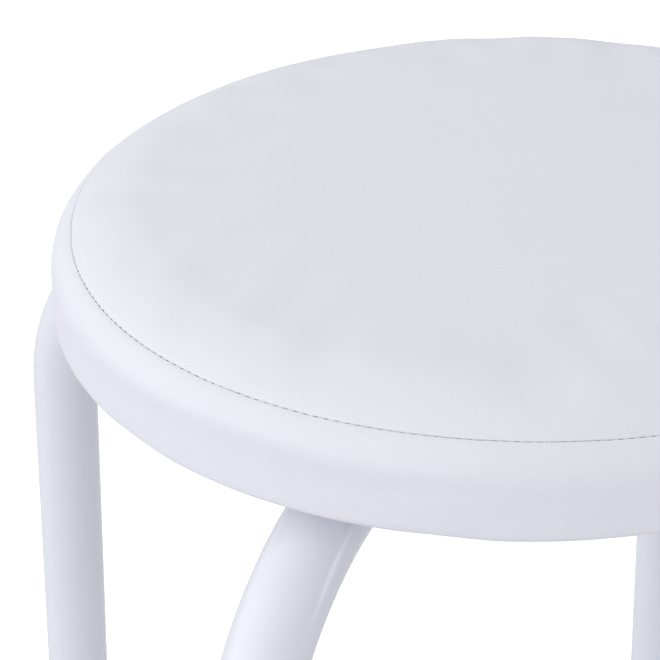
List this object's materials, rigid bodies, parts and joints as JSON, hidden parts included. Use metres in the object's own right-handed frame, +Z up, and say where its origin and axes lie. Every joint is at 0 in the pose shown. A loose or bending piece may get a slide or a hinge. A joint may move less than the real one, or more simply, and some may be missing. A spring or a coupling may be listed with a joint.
{
  "type": "stacking stool",
  "caption": "Backless round stool with a padded vinyl seat on crossed arches of bent steel tube, made to stack.",
  "frame": {"origin": "on the floor under the centre of the round seat", "axes": "+Z up; -Y to the front and +X to the right, with the four legs on the diagonals"},
  "size_m": [0.327, 0.327, 0.445],
  "materials": {
    "vinyl": "white upholstery vinyl, fine grain, soft sheen",
    "foam": "pale open-cell foam",
    "plywood": "raw birch plywood",
    "fleece": "black non-woven fleece",
    "staple_wire": "galvanised wire",
    "powder_coat": "glossy white powder coat",
    "zinc": "bright zinc plate",
    "spacer_plastic": "white moulded nylon",
    "cap_rubber": "pale grey rubber"
  },
  "bodies": {
    "root": {"top_panel": "vinyl", "side_band": "vinyl", "seat_foam": "foam", "seat_board": "plywood", "dust_cover": "fleece", "cover_staples": "staple_wire", "dust_cover_staples": "staple_wire", "through_arch": "powder_coat", "half_arch_rear_left": "powder_coat", "half_arch_front_right": "powder_coat", "weld_beads": "powder_coat", "tee_nuts": "zinc", "seat_screws": "zinc", "saddle_washers": "zinc", "saddle_spacer_rear_right": "spacer_plastic", "foot_cap_rear_right": "cap_rubber", "foot_disc_rear_right": "zinc", "saddle_spacer_rear_left": "spacer_plastic", "foot_cap_rear_left": "cap_rubber", "foot_disc_rear_left": "zinc", "saddle_spacer_front_left": "spacer_plastic", "foot_cap_front_left": "cap_rubber", "foot_disc_front_left": "zinc", "saddle_spacer_front_right": "spacer_plastic", "foot_cap_front_right": "cap_rubber", "foot_disc_front_right": "zinc"}
  },
  "joints": []
}
